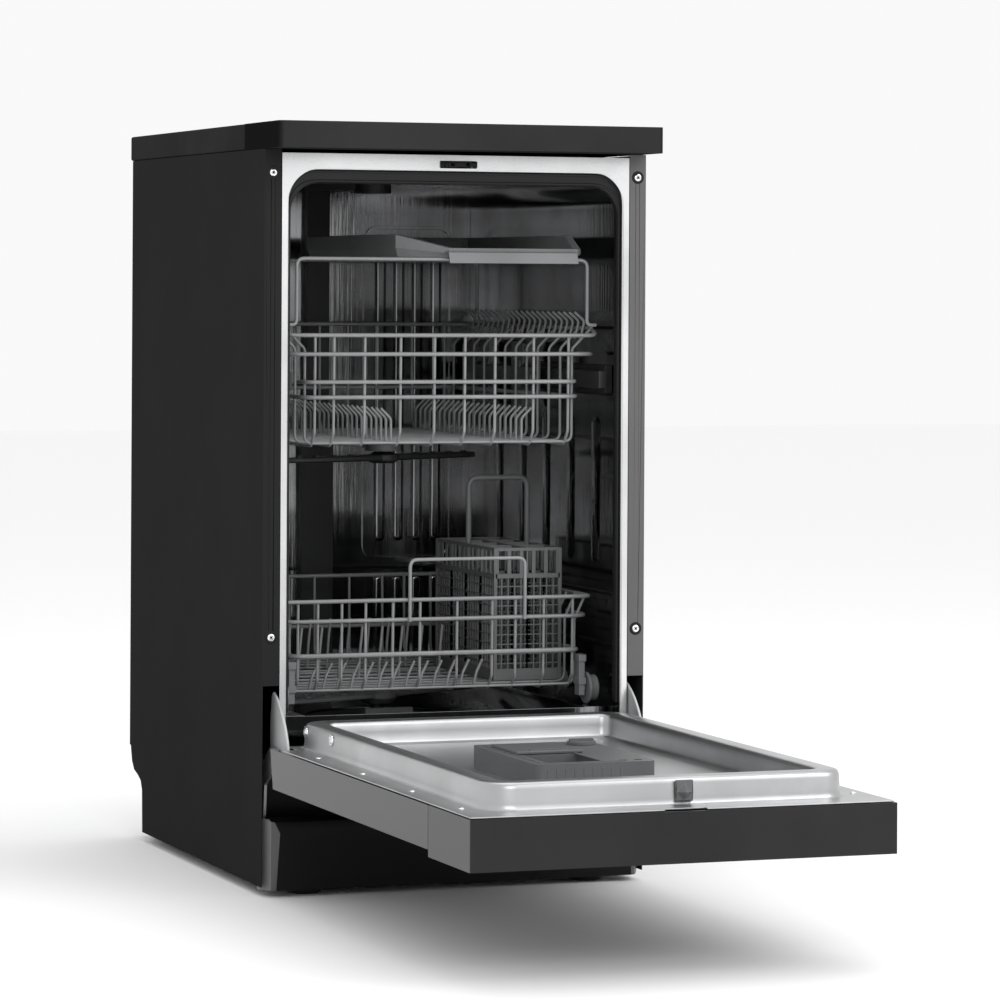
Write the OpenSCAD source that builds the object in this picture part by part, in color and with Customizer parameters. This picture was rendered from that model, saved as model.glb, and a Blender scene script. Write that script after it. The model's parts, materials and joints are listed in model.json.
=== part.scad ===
// Slimline free-standing dishwasher with its door open and both racks home.
// Cabinet coordinates: x across, y back from the front plane of the tub, z up from the floor.
// cab() moves them so that the origin is under the middle of the whole object.

/* [Cabinet] */
// Width over the side panels
body_w = 448; // [440:1:460]
// Height to the top of the worktop
body_h = 845; // [840:1:850]
// Depth from the tub's front plane to the back of the worktop
body_d = 555; // [550:1:570]
// Thickness of the worktop
top_t = 29; // [25:1:32]
// Thickness of the sheet panels
sheet = 1.2; // [1:0.1:1.5]

/* [Door] */
// Thickness of the control panel
panel_t = 52; // [48:1:54]
// Thickness of the outer door panel
skin_t = 45; // [40:1:46]
// Height of the door above its hinge pin
door_reach = 653; // [648:1:655]
// Height of the control panel
control_h = 120; // [100:1:130]
// Height of the liner's rim above the door's inner face
rim_h = 26.5; // [25:0.5:27]

/* [Racks] */
// Half width of the lower rack
lower_half_w = 184; // [180:1:186]
// Half width of the upper rack's walls
upper_half_w = 160; // [155:1:162]
// Travel of the upper rack
upper_travel = 325; // [300:1:325]
// Radius of the rim wires
rim_wire = 2.4; // [2:0.1:2.6]
// Radius of the upright and floor wires
thin_wire = 1.7; // [1.5:0.1:2]

/* [Hidden] */

half_w = body_w / 2;
panel_z = 11;                      // bottom edge of the side panels
top_z = body_h - top_t;            // underside of the worktop
gap = 0.4;                         // clearance between pieces that only lie beside each other
weld = 0.6;                        // depth to which welded wires sink into each other
flat = 0.924;                      // flat-to-centre distance of an eight-sided wire over its radius
pivot = [-15, 155];                // hinge pin, y and z
door_z = 167;                      // inner face of the open door
rim_z = door_z + rim_h;            // liner's rim when open, and the wheel ledges in the tub
door_front = pivot[0] - door_reach;
control_back = door_front + control_h;
front_y = (-door_front - body_d) / 2;
mouth_w = 197;                     // half width of the tub's mouth
mouth_z = 795;                     // top of the tub's mouth
mouth_r = 38;
tub_w = 201;                       // half width inside the tub
tub_roof = 797;
tub_back = 520;
sill_y = 30;                       // front edge of the tub floor
floor_z = 166;                     // low middle of the tub floor
ledge_w = 165;                     // half width where the wheel ledges begin
sump_c = [0, 275];                 // centre of the sump and of the lower spray arm
filter_c = [0, 231];
wheel_r = 18;                      // rolling disc of a wheel
drum_r = 14.5;                     // outer drum of a wheel
wheel_y = [63, 162, 340, 451];     // wheel axles with the lower rack home
wheel_z = rim_z + wheel_r + 0.3;
lower_front = 60;
lower_back = 458;
lower_floor_z = 216;
lower_rim_z = 316;
lower_foot_x = 171;                // half width of the lower rack at its floor
upper_front = 44;
upper_back = 472;
upper_floor_z = 492;
upper_rim_z = 620;
upper_rim_x = 184;                 // half width of the upper rack at its rim
rail_z = [552, 572];
rail_x = [180.8, 191.2];            // just inside the seal's lip, and just outside the rollers' flanges
rail_slot = [557.5, 566.5];        // height of the slot that runs on the guides
rail_y = [31, upper_travel + 145]; // long enough to stay on the guides at full travel
roller_r = 14.6;
roller_y = [277, 435];
roller_z = [rail_z[1] + roller_r + 0.3, rail_z[0] - roller_r - 0.3];
carrier_y = [46, 413];             // the two wire portals under the cutlery tray
carrier_w = 174;
carrier_z = 697;
tray_x = [-43, 167];
tray_y = [48, 425];
basket_x = [84, 164];
basket_y = [105, 305];
basket_z = [218.4, 369];
arm_x = [205.5, 208.5];            // thickness of the hinge arms
dispenser_x = [-85, 45];
dispenser_y = [-480, -290];
button_r = 7;
button_y = door_front + 34;

module cab() { translate([0, front_y, 0]) children(); }
module both() { children(); mirror([1, 0, 0]) children(); }
module box(x, y, z) { translate([x[0], y[0], z[0]]) cube([x[1] - x[0], y[1] - y[0], z[1] - z[0]]); }

// A rectangle with round corners from true arcs
module rounded(x, y, r) {
    translate([x[0] + r, y[0]]) square([x[1] - x[0] - 2 * r, y[1] - y[0]]);
    translate([x[0], y[0] + r]) square([x[1] - x[0], y[1] - y[0] - 2 * r]);
    for (cx = [x[0] + r, x[1] - r], cy = [y[0] + r, y[1] - r]) translate([cx, cy]) circle(r = r, $fn = 48);
}
module slab(x, y, z, r) { translate([0, 0, z[0]]) linear_extrude(z[1] - z[0]) rounded(x, y, r); }

// An outline in y and z, extruded across x
module across(x, points) {
    translate([x[0], 0, 0]) rotate([90, 0, 90]) linear_extrude(x[1] - x[0]) polygon(points);
}
// A cylinder along x
module rod_x(x, y, z, r) { translate([x[0], y, z]) rotate([0, 90, 0]) cylinder(h = x[1] - x[0], r = r, $fn = 48); }
module rod_y(x, y, z, r) { translate([x, y[0], z]) rotate([-90, 0, 0]) cylinder(h = y[1] - y[0], r = r, $fn = 48); }

// Eight-sided wires along the three axes
module bar(h, r) { rotate(22.5) cylinder(h = h, r = r, $fn = 8); }
module wire_x(x, y, z, r) { translate([x[0], y, z]) rotate([0, 90, 0]) bar(x[1] - x[0], r); }
module wire_y(x, y, z, r) { translate([x, y[0], z]) rotate([-90, 0, 0]) bar(y[1] - y[0], r); }
module wire_z(x, y, z, r) { translate([x, y, z[0]]) bar(z[1] - z[0], r); }
function steps(a, b, n) = [for (i = [0 : n - 1]) a + (b - a) * i / (n - 1)];

// ---- Cabinet ----
module side_panel() {
    front = [203.8 + gap, half_w];
    difference() {
        union() {
            box([half_w - sheet, half_w], [-sheet, body_d - 10], [panel_z, top_z - gap]);
            box(front, [-sheet, 0], [230, top_z - gap]);
            box([half_w - 12, half_w], [body_d - 10 - sheet, body_d - 10], [120, top_z - gap]);
        }
        across([half_w - 20, half_w + 1], [[body_d - 68, panel_z - 1], [body_d - 66, 62], [body_d - 60, 72],
            [body_d - 48, 77], [body_d - 30, 82], [body_d - 20, 92], [body_d - 14, 110], [body_d, 110], [body_d, panel_z - 1]]);
        for (z = [283, 790]) rod_y(214, [-3, 2], z, 2.3);
    }
}
module side_panel_right() color("#26272a") side_panel();
module side_panel_left() color("#26272a") mirror([1, 0, 0]) side_panel();

module rear_panel() color("#3a3b3d") difference() {
    box([-half_w + 13, half_w - 13], [body_d - 10 - sheet, body_d - 10], [112, top_z - gap]);
    for (z = steps(620, 720, 6)) slab([-60, 60], [body_d - 20, body_d], [0, 1], 0.5);
}

cap_back = 75;                     // where the trim's side caps end
module worktop_board() color("#303134") union() {
    box([-half_w + 3.4, half_w - 3.4], [-34.6, cap_back + 2], [top_z, body_h]);
    box([-half_w, half_w], [cap_back + gap, body_d], [top_z, body_h]);
}
module worktop_trim() color("#1b1b1d") union() {
    slab([-half_w, half_w], [-55, -35], [top_z, body_h], 6);
    both() box([half_w - 3, half_w], [-46, cap_back], [top_z, body_h]);
}

module base_tray() color("#1a1a1b") difference() {
    union() {
        box([-213, 213], [8, body_d - 42], [12, 15]);
        both() box([200, 203], [65, body_d - 15], [14, 150]);
        box([-203, 203], [65, 68], [14, 150]);
        box([-203, 203], [body_d - 18, body_d - 15], [12, 150]);
        box([-203, 203], [body_d - 43, body_d - 15], [12, 15]);
        box([-203, 203], [8, 11], [14, 80]);
    }
    for (x = [-166, 166], y = [28, 490]) translate([x, y, 5]) cylinder(h = 20, r = 6.3, $fn = 48);
    rod_y(-150, [500, 560], 70, 17);
    rod_y(150, [500, 560], 70, 14);
    rod_y(60, [500, 560], 70, 10);
}

module kick_plate() color("#1f1f20") difference() {
    union() {
        across([-222, 222], [[-7, 7], [-9, 70], [-6, 82], [6, 86], [7.5, 86], [7.5, 60], [-1, 60], [-1, 7]]);
        both() box([214.4, 222], [-6, 20], [7, 85]);
    }
    // the ends turn back to the side panels in two facets
    both() linear_extrude(100) polygon([[204, -20], [204, -9.4], [213.5, -4], [222, 12], [223, 12], [223, -20]]);
}

module levelling_feet() color("#141414") for (x = [-166, 166], y = [28, 490]) translate([x, y, 0]) {
    cylinder(h = 8, r = 18.5, $fn = 48);
    cylinder(h = 55, r = 5.8, $fn = 48);
}
module panel_screws() color("#d9d9d9") both() for (z = [283, 790]) difference() {
    union() {
        rod_y(214, [-2.5, -sheet - 0.05], z, 4.4);
        rod_y(214, [-2, 12], z, 2.1);
    }
    box([213.5, 214.5], [-3, -1.9], [z - 2.6, z + 2.6]);
    box([211.4, 216.6], [-3, -1.9], [z - 0.5, z + 0.5]);
}
module hinge_brackets() color("#a9abad") both() union() {
    across([211, 214], [[-23, 145], [-23, 163], [2, 163], [60, 120], [60, 16], [30, 16], [20, 120]]);
    rod_x([203.6, 212], pivot[0], pivot[1], 4);
}

// ---- Tub ----
module mouth(w, h, r, low) {
    rounded([-w, w], [low + 100, h], r);
    translate([-w, low]) square([2 * w, 160]);
}
// An outline in x and z, extruded back along y
module upright(y) { translate([0, y[1], 0]) rotate([90, 0, 0]) linear_extrude(y[1] - y[0]) children(); }

module tub_wrapper() color("#b9babb") upright([gap, tub_back - gap]) difference() {
    mouth(tub_w + 1, tub_roof + 1, mouth_r + 4, 154);
    mouth(tub_w, tub_roof, mouth_r + 3, 150);
}
module tub_rear_wall() color("#b9babb") union() {
    box([-tub_w - 1, tub_w + 1], [tub_back, tub_back + 1.2], [154, tub_roof + 1]);
    both() upright([tub_back - 3, tub_back + 0.5]) difference() {
        rounded([62, 178], [330, 740], 18);
        rounded([66, 174], [334, 736], 15);
    }
}
module tub_floor() color("#b9babb") difference() {
    union() {
        translate([0, tub_back - gap, 0]) rotate([90, 0, 0]) linear_extrude(tub_back - gap - sill_y)
            polygon([[-tub_w + gap, rim_z], [-ledge_w, rim_z], [-ledge_w + 12, floor_z + 2], [0, floor_z],
                [ledge_w - 12, floor_z + 2], [ledge_w, rim_z], [tub_w - gap, rim_z],
                [tub_w - gap, rim_z - 1.5], [ledge_w + 1, rim_z - 1.5], [ledge_w - 11, floor_z + 0.5],
                [0, floor_z - 1.5], [-ledge_w + 11, floor_z + 0.5], [-ledge_w - 1, rim_z - 1.5],
                [-tub_w + gap, rim_z - 1.5]]);
        box([-tub_w + gap, tub_w - gap], [sill_y, sill_y + 1.2], [154, rim_z - 0.5]);
    }
    translate([sump_c[0], sump_c[1], 100]) cylinder(h = 120, r = 82, $fn = 96);
}
module tub_frame() color("#d5d6d7") difference() {
    upright([-1.2, 0]) difference() {
        translate([-203.8, 154]) square([407.6, top_z - 4 - 154]);
        mouth(mouth_w, mouth_z, mouth_r, 150);
    }
    box([-21.4, 21.4], [-3, 2], [797.4, 805.2]);
}
module door_seal() color("#1b1c1d") upright([5, 15]) difference() {
    mouth(tub_w - gap, tub_roof - gap, mouth_r + 2.6, 200);
    mouth(191.5, 779, mouth_r - 6, 190);
}
module latch_strike() color("#111213") difference() {
    union() {
        box([-21, 21], [-5, 3], [tub_roof + 1 + gap, 804.8]);
        box([-14, 14], [-8, -4], [tub_roof + 2, 804]);
    }
    box([-6, 6], [-10, 1], [796, 802]);
}
module sump() color("#242527") translate([sump_c[0], sump_c[1], 0]) difference() {
    union() {
        translate([0, 0, 92]) cylinder(h = floor_z - 94, r = 84, $fn = 96);
        translate([0, 0, 60]) cylinder(h = 34, r = 40, $fn = 64);
        translate([0, 0, 150]) cylinder(h = 42, r = 7, $fn = 48);
    }
    difference() {
        translate([0, 0, 95]) cylinder(h = floor_z - 94 - 6, r = 81, $fn = 96);
        translate([0, 0, 90]) cylinder(h = 90, r = 7, $fn = 48);
    }
    translate([filter_c[0] - sump_c[0], filter_c[1] - sump_c[1], 130]) cylinder(h = 60, r = 31, $fn = 64);
}
module filter_cup() color("#8d9093") translate([filter_c[0], filter_c[1], 0]) union() {
    difference() {
        union() {
            translate([0, 0, 102]) cylinder(h = 66, r = 30.4, $fn = 64);
            translate([0, 0, floor_z - 1.6]) cylinder(h = 3, r = 36, $fn = 64);
        }
        translate([0, 0, 105]) cylinder(h = 100, r = 28, $fn = 64);
    }
    translate([-29, -3, 160]) cube([58, 6, 18]);
}
module feed_pipe() color("#a5a7a9") union() {
    duct_y = 506;
    box([-20, 20], [duct_y, tub_back - gap], [172, 496]);
    rod_y(0, [493, duct_y + 1], 482, 7);
    box([-14, 14], [duct_y, tub_back - gap], [495, 780]);
    box([-14, 14], [300, tub_back - gap], [780, 790]);
    translate([0, 300, 775]) cylinder(h = 15, r = 22, $fn = 48);
}
module rail_guides() color("#2a2b2c") both() union() {
    box([rail_x[1] + 0.5, tub_w - gap], [40, 300], [546, 578]);
    box([rail_x[1] - 4.2, rail_x[1] + 1], [40, 300], [rail_slot[0] + 0.5, rail_slot[1] - 0.5]);
}

// ---- Works in the base ----
module circulation_pump() color("#55575a") union() {
    rod_y(110, [230, 400], 62, 36);
    rod_y(110, [205, 232], 62, 30);
    box([50, 115], [206, 224], [54, 72]);
}
module drain_pump() color("#2f3133") union() {
    rod_y(150, [420, 553], 70, 10);
    rod_y(150, [420, 470], 70, 24);
}
module water_softener() color("#c9cbcc") difference() {
    slab([-185, -90], [330, 480], [20, 145], 12);
    translate([-138, 370, 120]) cylinder(h = 40, r = 24, $fn = 48);
}
module inlet_valve() color("#e2e2df") union() {
    rod_y(-150, [530, 553], 70, 13.2);
    rod_y(-150, [490, 531], 70, 16);
}
module cable_gland() color("#141414") difference() {
    union() {
        rod_y(60, [530, 536], 70, 13);
        rod_y(60, [530, 550], 70, 9);
    }
    rod_y(60, [528, 560], 70, 4.5);
}

// ---- Wash system ----
module blade(r, z, w) {
    rotate([0, 0, 24]) slab([-r, r], [-w, w], z, w - 0.5);
}
module lower_spray_arm() color("#9a9c9e") translate([sump_c[0], sump_c[1], 0]) difference() {
    union() {
        blade(154, [185, 193], 17);
        translate([0, 0, 180]) cylinder(h = 19, r = 24, $fn = 64);
    }
    translate([0, 0, 178]) cylinder(h = 16, r = 7.05, $fn = 48);
    rotate([0, 0, 24]) for (x = [-140, -112, -84, -56, 60, 88, 116, 138])
        translate([x, x > 0 ? 5 : -5, 180]) cylinder(h = 20, r = 2.2, $fn = 24);
}
upper_hub_y = 257;
module upper_spray_arm() color("#2c2d2f") translate([0, upper_hub_y, 0]) difference() {
    union() {
        blade(148, [462, 470], 14);
        translate([0, 0, 460.5]) cylinder(h = 13, r = 19, $fn = 64);
    }
    translate([0, 0, 465]) cylinder(h = 20, r = 6.05, $fn = 48);
    rotate([0, 0, 24]) for (x = [-132, -100, -68, 72, 104, 134])
        translate([x, x > 0 ? 4 : -4, 450]) cylinder(h = 30, r = 2, $fn = 24);
}
module upper_feed_duct() color("#8f9193") union() {
    box([-11, 11], [upper_hub_y, 489], [477, 487]);
    translate([0, upper_hub_y, 475]) cylinder(h = 12, r = 21, $fn = 64);
    translate([0, upper_hub_y, 466]) cylinder(h = 12, r = 6, $fn = 48);
}
// ---- Racks ----
// Upright wires under a rail that flares outwards at the top; the wall faces across x
module flared_posts(x_foot, x_rim, z_foot, z_bend, z_rim, posts) {
    lean = atan2(x_rim - x_foot, z_rim - z_bend);
    for (p = posts) {
        wire_z(x_foot, p, [z_foot, z_bend + 0.8], thin_wire);
        translate([x_foot, p, z_bend]) rotate([0, lean, 0]) bar(norm([x_rim - x_foot, z_rim - z_bend]), thin_wire);
    }
}
// Upright wires of an end wall, behind its rails
module posts_at(y, z, posts) { for (p = posts) wire_z(p, y, z, thin_wire); }
// A flat grid of wires, the second layer welded under the first
module grid(x, y, z, nx, ny) {
    for (p = steps(x[0] + 12, x[1] - 12, nx)) wire_y(p, y, z, thin_wire);
    for (p = steps(y[0] + 12, y[1] - 12, ny)) wire_x(x, p, z - (2 * thin_wire * flat - weld), thin_wire);
}
welded = (rim_wire + thin_wire) * flat - weld;  // distance between a rail and the uprights welded to it

module upper_rack_floor() color("#a9abad")
    grid([-upper_half_w, upper_half_w], [upper_front, upper_back], upper_floor_z, 14, 7);
module upper_rack_sides() color("#a9abad") both() union() {
    y = [upper_front, upper_back];
    wire_y(upper_rim_x, y, upper_rim_z, rim_wire);
    wire_y(upper_half_w + welded, y, 543, rim_wire);
    wire_y(upper_half_w + welded, y, upper_floor_z, rim_wire);
    flared_posts(upper_half_w, upper_rim_x, upper_floor_z - 3, 600, upper_rim_z, steps(y[0] + 14, y[1] - 14, 12));
}
module upper_rack_ends() color("#b2b4b6") union() {
    for (y = [upper_front, upper_back]) {
        in = y == upper_front ? 1 : -1;
        wire_x([-upper_rim_x - 1, upper_rim_x + 1], y, y == upper_front ? 612 : upper_rim_z, rim_wire);
        wire_x([-upper_rim_x + 14, upper_rim_x - 14], y, 591, rim_wire);
        wire_x([-upper_half_w, upper_half_w], y, 560, rim_wire);
        wire_x([-upper_half_w - 3, upper_half_w + 3], y, upper_floor_z, rim_wire);
        posts_at(y + in * welded, [upper_floor_z - 3, 613], [-150, -92, -10, 62, 108, 150]);
    }
}
module tray_carrier() color("#b2b4b6") for (y = carrier_y) union() {
    r = 2;
    foot_z = upper_rim_z + 3.4;
    wire_x([-carrier_w - r * flat, carrier_w + r * flat], y, carrier_z, r);
    both() wire_z(carrier_w, y, [foot_z - r * flat, carrier_z], r);
    both() wire_x([carrier_w - r * flat, upper_rim_x + 1], y, foot_z, r);
}
plate_x = [171, 174];
module roller_plates() color("#6e7072") both() union() {
    box(plate_x, [204, roller_y[1] + 12], [552, 572]);
    box(plate_x, [200, 222], [546, 587]);
    for (y = roller_y) box(plate_x, [y - 13, y + 13], [518, 602]);
    posts = steps(upper_front + 14, upper_back - 14, 12);
    for (y = [posts[4], posts[10]]) box([upper_half_w + 1, plate_x[0] + 0.5], [y - 5, y + 5], [553, 563]);
    for (y = roller_y, z = roller_z) rod_x([plate_x[1] - 1, rail_x[1] - 1.5], y, z, 3);
}
// A pair of rollers on one axle line: a rimmed tyre with a spoked face
module roller(y, z) both() difference() {
    union() {
        rod_x([180.4, 191], y, z, roller_r);
        rod_x([175.2, 180.5], y, z, roller_r + 1.4);
    }
    rod_x([170, 200], y, z, 3.05);
    rod_x([187.5, 192], y, z, roller_r - 2.4);
}
module rollers_front_top() color("#9b9da0") roller(roller_y[0], roller_z[0]);
module rollers_front_low() color("#9b9da0") roller(roller_y[0], roller_z[1]);
module rollers_rear_top() color("#9b9da0") roller(roller_y[1], roller_z[0]);
module rollers_rear_low() color("#9b9da0") roller(roller_y[1], roller_z[1]);
module rack_rails() color("#0f0f10") both() difference() {
    box(rail_x, rail_y, rail_z);
    box([rail_x[1] - 4.8, rail_x[1] + 1], [rail_y[0] + 5, rail_y[1] + 1], rail_slot);
}
module cutlery_tray() color("#8e9092") union() {
    z = [carrier_z + 2.4, carrier_z + 28];
    difference() {
        box(tray_x, tray_y, z);
        box([tray_x[0] + 2, tray_x[1] - 2], [tray_y[0] + 2, tray_y[1] - 2], [z[0] + 2, z[1] + 1]);
        box([tray_x[0] + 30, tray_x[1] - 1], [tray_y[0] - 1, tray_y[0] + 3], [z[0] + 9, z[1] + 1]);
        for (i = [0 : 7], j = [0 : 4])
            box([tray_x[0] + 14 + i * 24, tray_x[0] + 28 + i * 24], [tray_y[0] + 18 + j * 72, tray_y[0] + 74 + j * 72],
                [z[0] - 1, z[0] + 3]);
    }
    box([tray_x[0] + 46, tray_x[1] - 10], [tray_y[0] - 14, tray_y[0] + 1], [z[0] + 4, z[0] + 6]);
    box([tray_x[0] + 46, tray_x[1] - 10], [tray_y[0] - 14, tray_y[0] - 12], [z[0] - 7, z[0] + 6]);
}

module lower_rack_floor() color("#a9abad")
    grid([-lower_foot_x, lower_foot_x], [lower_front, lower_back], lower_floor_z, 14, 8);
module lower_rack_sides() color("#a9abad") both() union() {
    y = [lower_front, lower_back];
    wire_y(lower_half_w, y, lower_rim_z, rim_wire);
    wire_y(lower_foot_x - welded, y, 255, rim_wire);
    wire_y(lower_foot_x - welded, y, lower_floor_z, rim_wire);
    flared_posts(lower_foot_x, lower_half_w, lower_floor_z - 3, 288, lower_rim_z,
        [lower_front + 14, 104, 132, 196, 236, 300, 380, 412, lower_back - 14]);
    for (p = wheel_y) {
        box([lower_foot_x - 3, lower_foot_x + 5], [p - 7, p + 7], [wheel_z - 8, 246]);
        rod_x([lower_foot_x + 4, wheel_x[2] - 0.6], p, wheel_z, 3);
    }
}
module lower_rack_ends() color("#b2b4b6") union() {
    for (y = [lower_front, lower_back]) {
        in = y == lower_front ? 1 : -1;
        wire_x([-lower_half_w - 1, lower_half_w + 1], y, lower_rim_z, rim_wire);
        wire_x([-lower_half_w + 8, lower_half_w - 8], y, 294, rim_wire);
        wire_x([-lower_foot_x, lower_foot_x], y, 255, rim_wire);
        wire_x([-lower_foot_x, lower_foot_x], y, lower_floor_z, rim_wire);
        posts_at(y + in * welded, [lower_floor_z - 3, lower_rim_z], [-163, -84, -20, 24, 66, 163]);
    }
    grip = [-34, 104];
    for (x = grip) wire_z(x, lower_front - welded, [292, 361], thin_wire);
    wire_x([grip[0] - 1.5, grip[1] + 1.5], lower_front - welded, 361, thin_wire);
}
module plate_tines() color("#b2b4b6")
    for (y = [95, 215, 335], x = steps(-140, 56, 9)) translate([x, y, lower_floor_z + 1.2])
        bar(y < 100 ? 34 : 60, thin_wire);
// A pair of wheels on one axle line: the rolling disc inboard, a cupped drum outside
wheel_x = [178, 184, 190.6];
module wheel(y) both() difference() {
    union() {
        rod_x([wheel_x[0], wheel_x[1]], y, wheel_z, wheel_r);
        rod_x([wheel_x[0], wheel_x[2]], y, wheel_z, drum_r);
    }
    rod_x([150, 200], y, wheel_z, 3.05);
    difference() {
        rod_x([wheel_x[1] + 1, 200], y, wheel_z, drum_r - 2.4);
        rod_x([wheel_x[1], 201], y, wheel_z, 5.6);
    }
}
module wheels_1() color("#8a8c8e") wheel(wheel_y[0]);
module wheels_2() color("#8a8c8e") wheel(wheel_y[1]);
module wheels_3() color("#8a8c8e") wheel(wheel_y[2]);
module wheels_4() color("#8a8c8e") wheel(wheel_y[3]);

module cutlery_basket() color("#808284") {
    t = 2;
    cells = [2, 4];
    pitch = [(basket_x[1] - basket_x[0] - t) / cells[0], (basket_y[1] - basket_y[0] - t) / cells[1]];
    slot_z = [basket_z[0] + 16, basket_z[1] - 10];
    difference() {
        box(basket_x, basket_y, basket_z);
        for (i = [0 : cells[0] - 1], j = [0 : cells[1] - 1])
            box([basket_x[0] + t + i * pitch[0], basket_x[0] + (i + 1) * pitch[0]],
                [basket_y[0] + t + j * pitch[1], basket_y[0] + (j + 1) * pitch[1]], [basket_z[0] + t, basket_z[1] + 1]);
        for (j = [0 : cells[1] - 1], k = [0.3, 0.7])
            box([basket_x[0] - 1, basket_x[1] + 1],
                [basket_y[0] + (j + k) * pitch[1] - 6, basket_y[0] + (j + k) * pitch[1] + 8], slot_z);
        for (i = [0 : cells[0] - 1], k = [0.3, 0.7])
            box([basket_x[0] + (i + k) * pitch[0] - 5, basket_x[0] + (i + k) * pitch[0] + 6],
                [basket_y[0] - 1, basket_y[1] + 1], slot_z);
    }
    mid = (basket_y[0] + basket_y[1]) / 2;
    for (x = [basket_x[0], basket_x[1] - 6]) box([x, x + 6], [mid - 4, mid + 4], [basket_z[1] - 12, 448]);
    box(basket_x, [mid - 4, mid + 4], [442, 448]);
}

// ---- Door, drawn open ----
module door_panel() color("#67686a") difference() {
    across([-222, 222], [[-37, door_z - skin_t], [-27, door_z - 1.8], [control_back + gap, door_z - 1.8],
        [control_back + gap, door_z - skin_t]]);
    across([-222 + sheet, 222 - sheet], [[-20, door_z - skin_t + sheet], [-20, door_z], [control_back - 5, door_z],
        [control_back - 5, door_z - skin_t + sheet]]);
}
handle_x = [-75, 75];
module control_panel() color("#1d1e20") difference() {
    box([-222, 222], [door_front, control_back], [door_z - panel_t, door_z - 1.8]);
    box([-219, 219], [door_front + 3, control_back - 2], [door_z - panel_t + 3, door_z]);
    box(handle_x, [control_back - 42, control_back - 10], [door_z - panel_t - 1, door_z - panel_t + 4]);
    box([-40, 40], [button_y - 9, button_y + 9], [door_z - panel_t - 1, door_z - panel_t + 0.6]);
    for (x = [-190, 150, 190]) translate([x, button_y, door_z - panel_t - 1]) cylinder(h = 6, r = button_r + 0.3, $fn = 48);
}
liner_x = 190;
liner_y = [-628, -20];
ledge = 25;
module door_liner() color("#c4c5c6") difference() {
    t = 1.4;
    union() {
        box([-220, 220], [door_front + 3.4, -30], [door_z - t, door_z]);
        slab([-liner_x, liner_x], liner_y, [door_z - t, rim_z], 30);
    }
    difference() {
        slab([-liner_x + t, liner_x - t], [liner_y[0] + t, liner_y[1] - t], [door_z - 3, rim_z - t], 30 - t);
        slab([-liner_x + ledge - t, liner_x - ledge + t], [liner_y[0] + ledge - t, liner_y[1] - ledge + t],
            [door_z - 4, rim_z], 20);
    }
    slab([-liner_x + ledge, liner_x - ledge], [liner_y[0] + ledge, liner_y[1] - ledge], [door_z + 0.6, rim_z + 1], 20 - t);
    slab([-liner_x + ledge + 4, liner_x - ledge - 4], [liner_y[0] + ledge + 4, liner_y[1] - ledge - 4],
        [door_z - 4, door_z - 1], 16);
    both() box([203, 230], [-66, -20], [door_z - 4, door_z + 1]);
    box([-22, 22], [door_front, -657.5], [door_z - 4, door_z + 1]);
}
module door_bottom_strip() color("#161617") across([-203, 203],
    [[-60, 127], [-60, 148], [20, 150], [28, 144], [28, 124], [-27, 124.8]]);
module hinge_arms() color("#b4b6b8") both() difference() {
    across(arm_x, [[-110, 140], [-110, 160], [-32, 164], [-27, 180], [-18, 205], [-4, 222], [14, 231], [12, 218],
        [2, 200], [-2, 176], [-3, 145], [-20, 143]]);
    rod_x([200, 212], pivot[0], pivot[1], 4.05);
}
// A wedge towards the front; two of them crossed make the nose's four-sided point
module nose_wedge() translate([0, 0, -9]) linear_extrude(18) polygon([[-6, 0], [6, 0], [0.7, -6], [-0.7, -6]]);
module latch_nose() color("#6c6e70") translate([12, 0, 0]) union() {
    box([-9, 9], [liner_y[0] - 2.6, liner_y[0] - gap], [door_z + 3, rim_z - 3]);
    translate([0, liner_y[0] - 2.4, door_z + 12]) rotate([0, 45, 0]) intersection() {
        nose_wedge();
        rotate([0, 90, 0]) nose_wedge();
    }
}
dispenser_z = [door_z + 0.6, rim_z - 1.5];
cup = [[-68, -8], [-468, -398]];   // detergent cup, x and y
cap_at = [26, -318];
module dispenser_body() color("#6f7173") difference() {
    slab(dispenser_x, dispenser_y, dispenser_z, 9);
    box(cup[0], cup[1], [dispenser_z[0] + 3, dispenser_z[1] + 1]);
    for (x = [10, 26]) box([x, x + 8], [-470, -462], [dispenser_z[1] - 3, dispenser_z[1] + 1]);
    translate([cap_at[0], cap_at[1], dispenser_z[1] - 8]) cylinder(h = 20, r = 11, $fn = 48);
}
module dispenser_lid() color("#77797b") union() {
    z = dispenser_z[1] + 0.4;
    box([cup[0][0] - 6, cup[0][1] + 6], [cup[1][1] + 3, cup[1][1] + 79], [z, z + 3.2]);
    box([cup[0][0] + 10, cup[0][1] - 10], [cup[1][1] + 6, cup[1][1] + 11], [z + 3, z + 5]);
}
module rinse_aid_cap() color("#8d8f91") translate([cap_at[0], cap_at[1], dispenser_z[1]]) {
    translate([0, 0, 0.4]) cylinder(h = 3, r = 15, $fn = 64);
    translate([0, 0, -6]) cylinder(h = 7, r = 10.9, $fn = 48);
    translate([-13, -2, 3]) cube([26, 4, 3]);
}
module button(x) translate([x, button_y, 0]) {
    translate([0, 0, door_z - panel_t - 2.2]) cylinder(h = 8, r = button_r, $fn = 48);
}
module power_button() color("#9a9b9d") button(-190);
module program_button() color("#9a9b9d") button(150);
module start_button() color("#9a9b9d") button(190);

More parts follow.
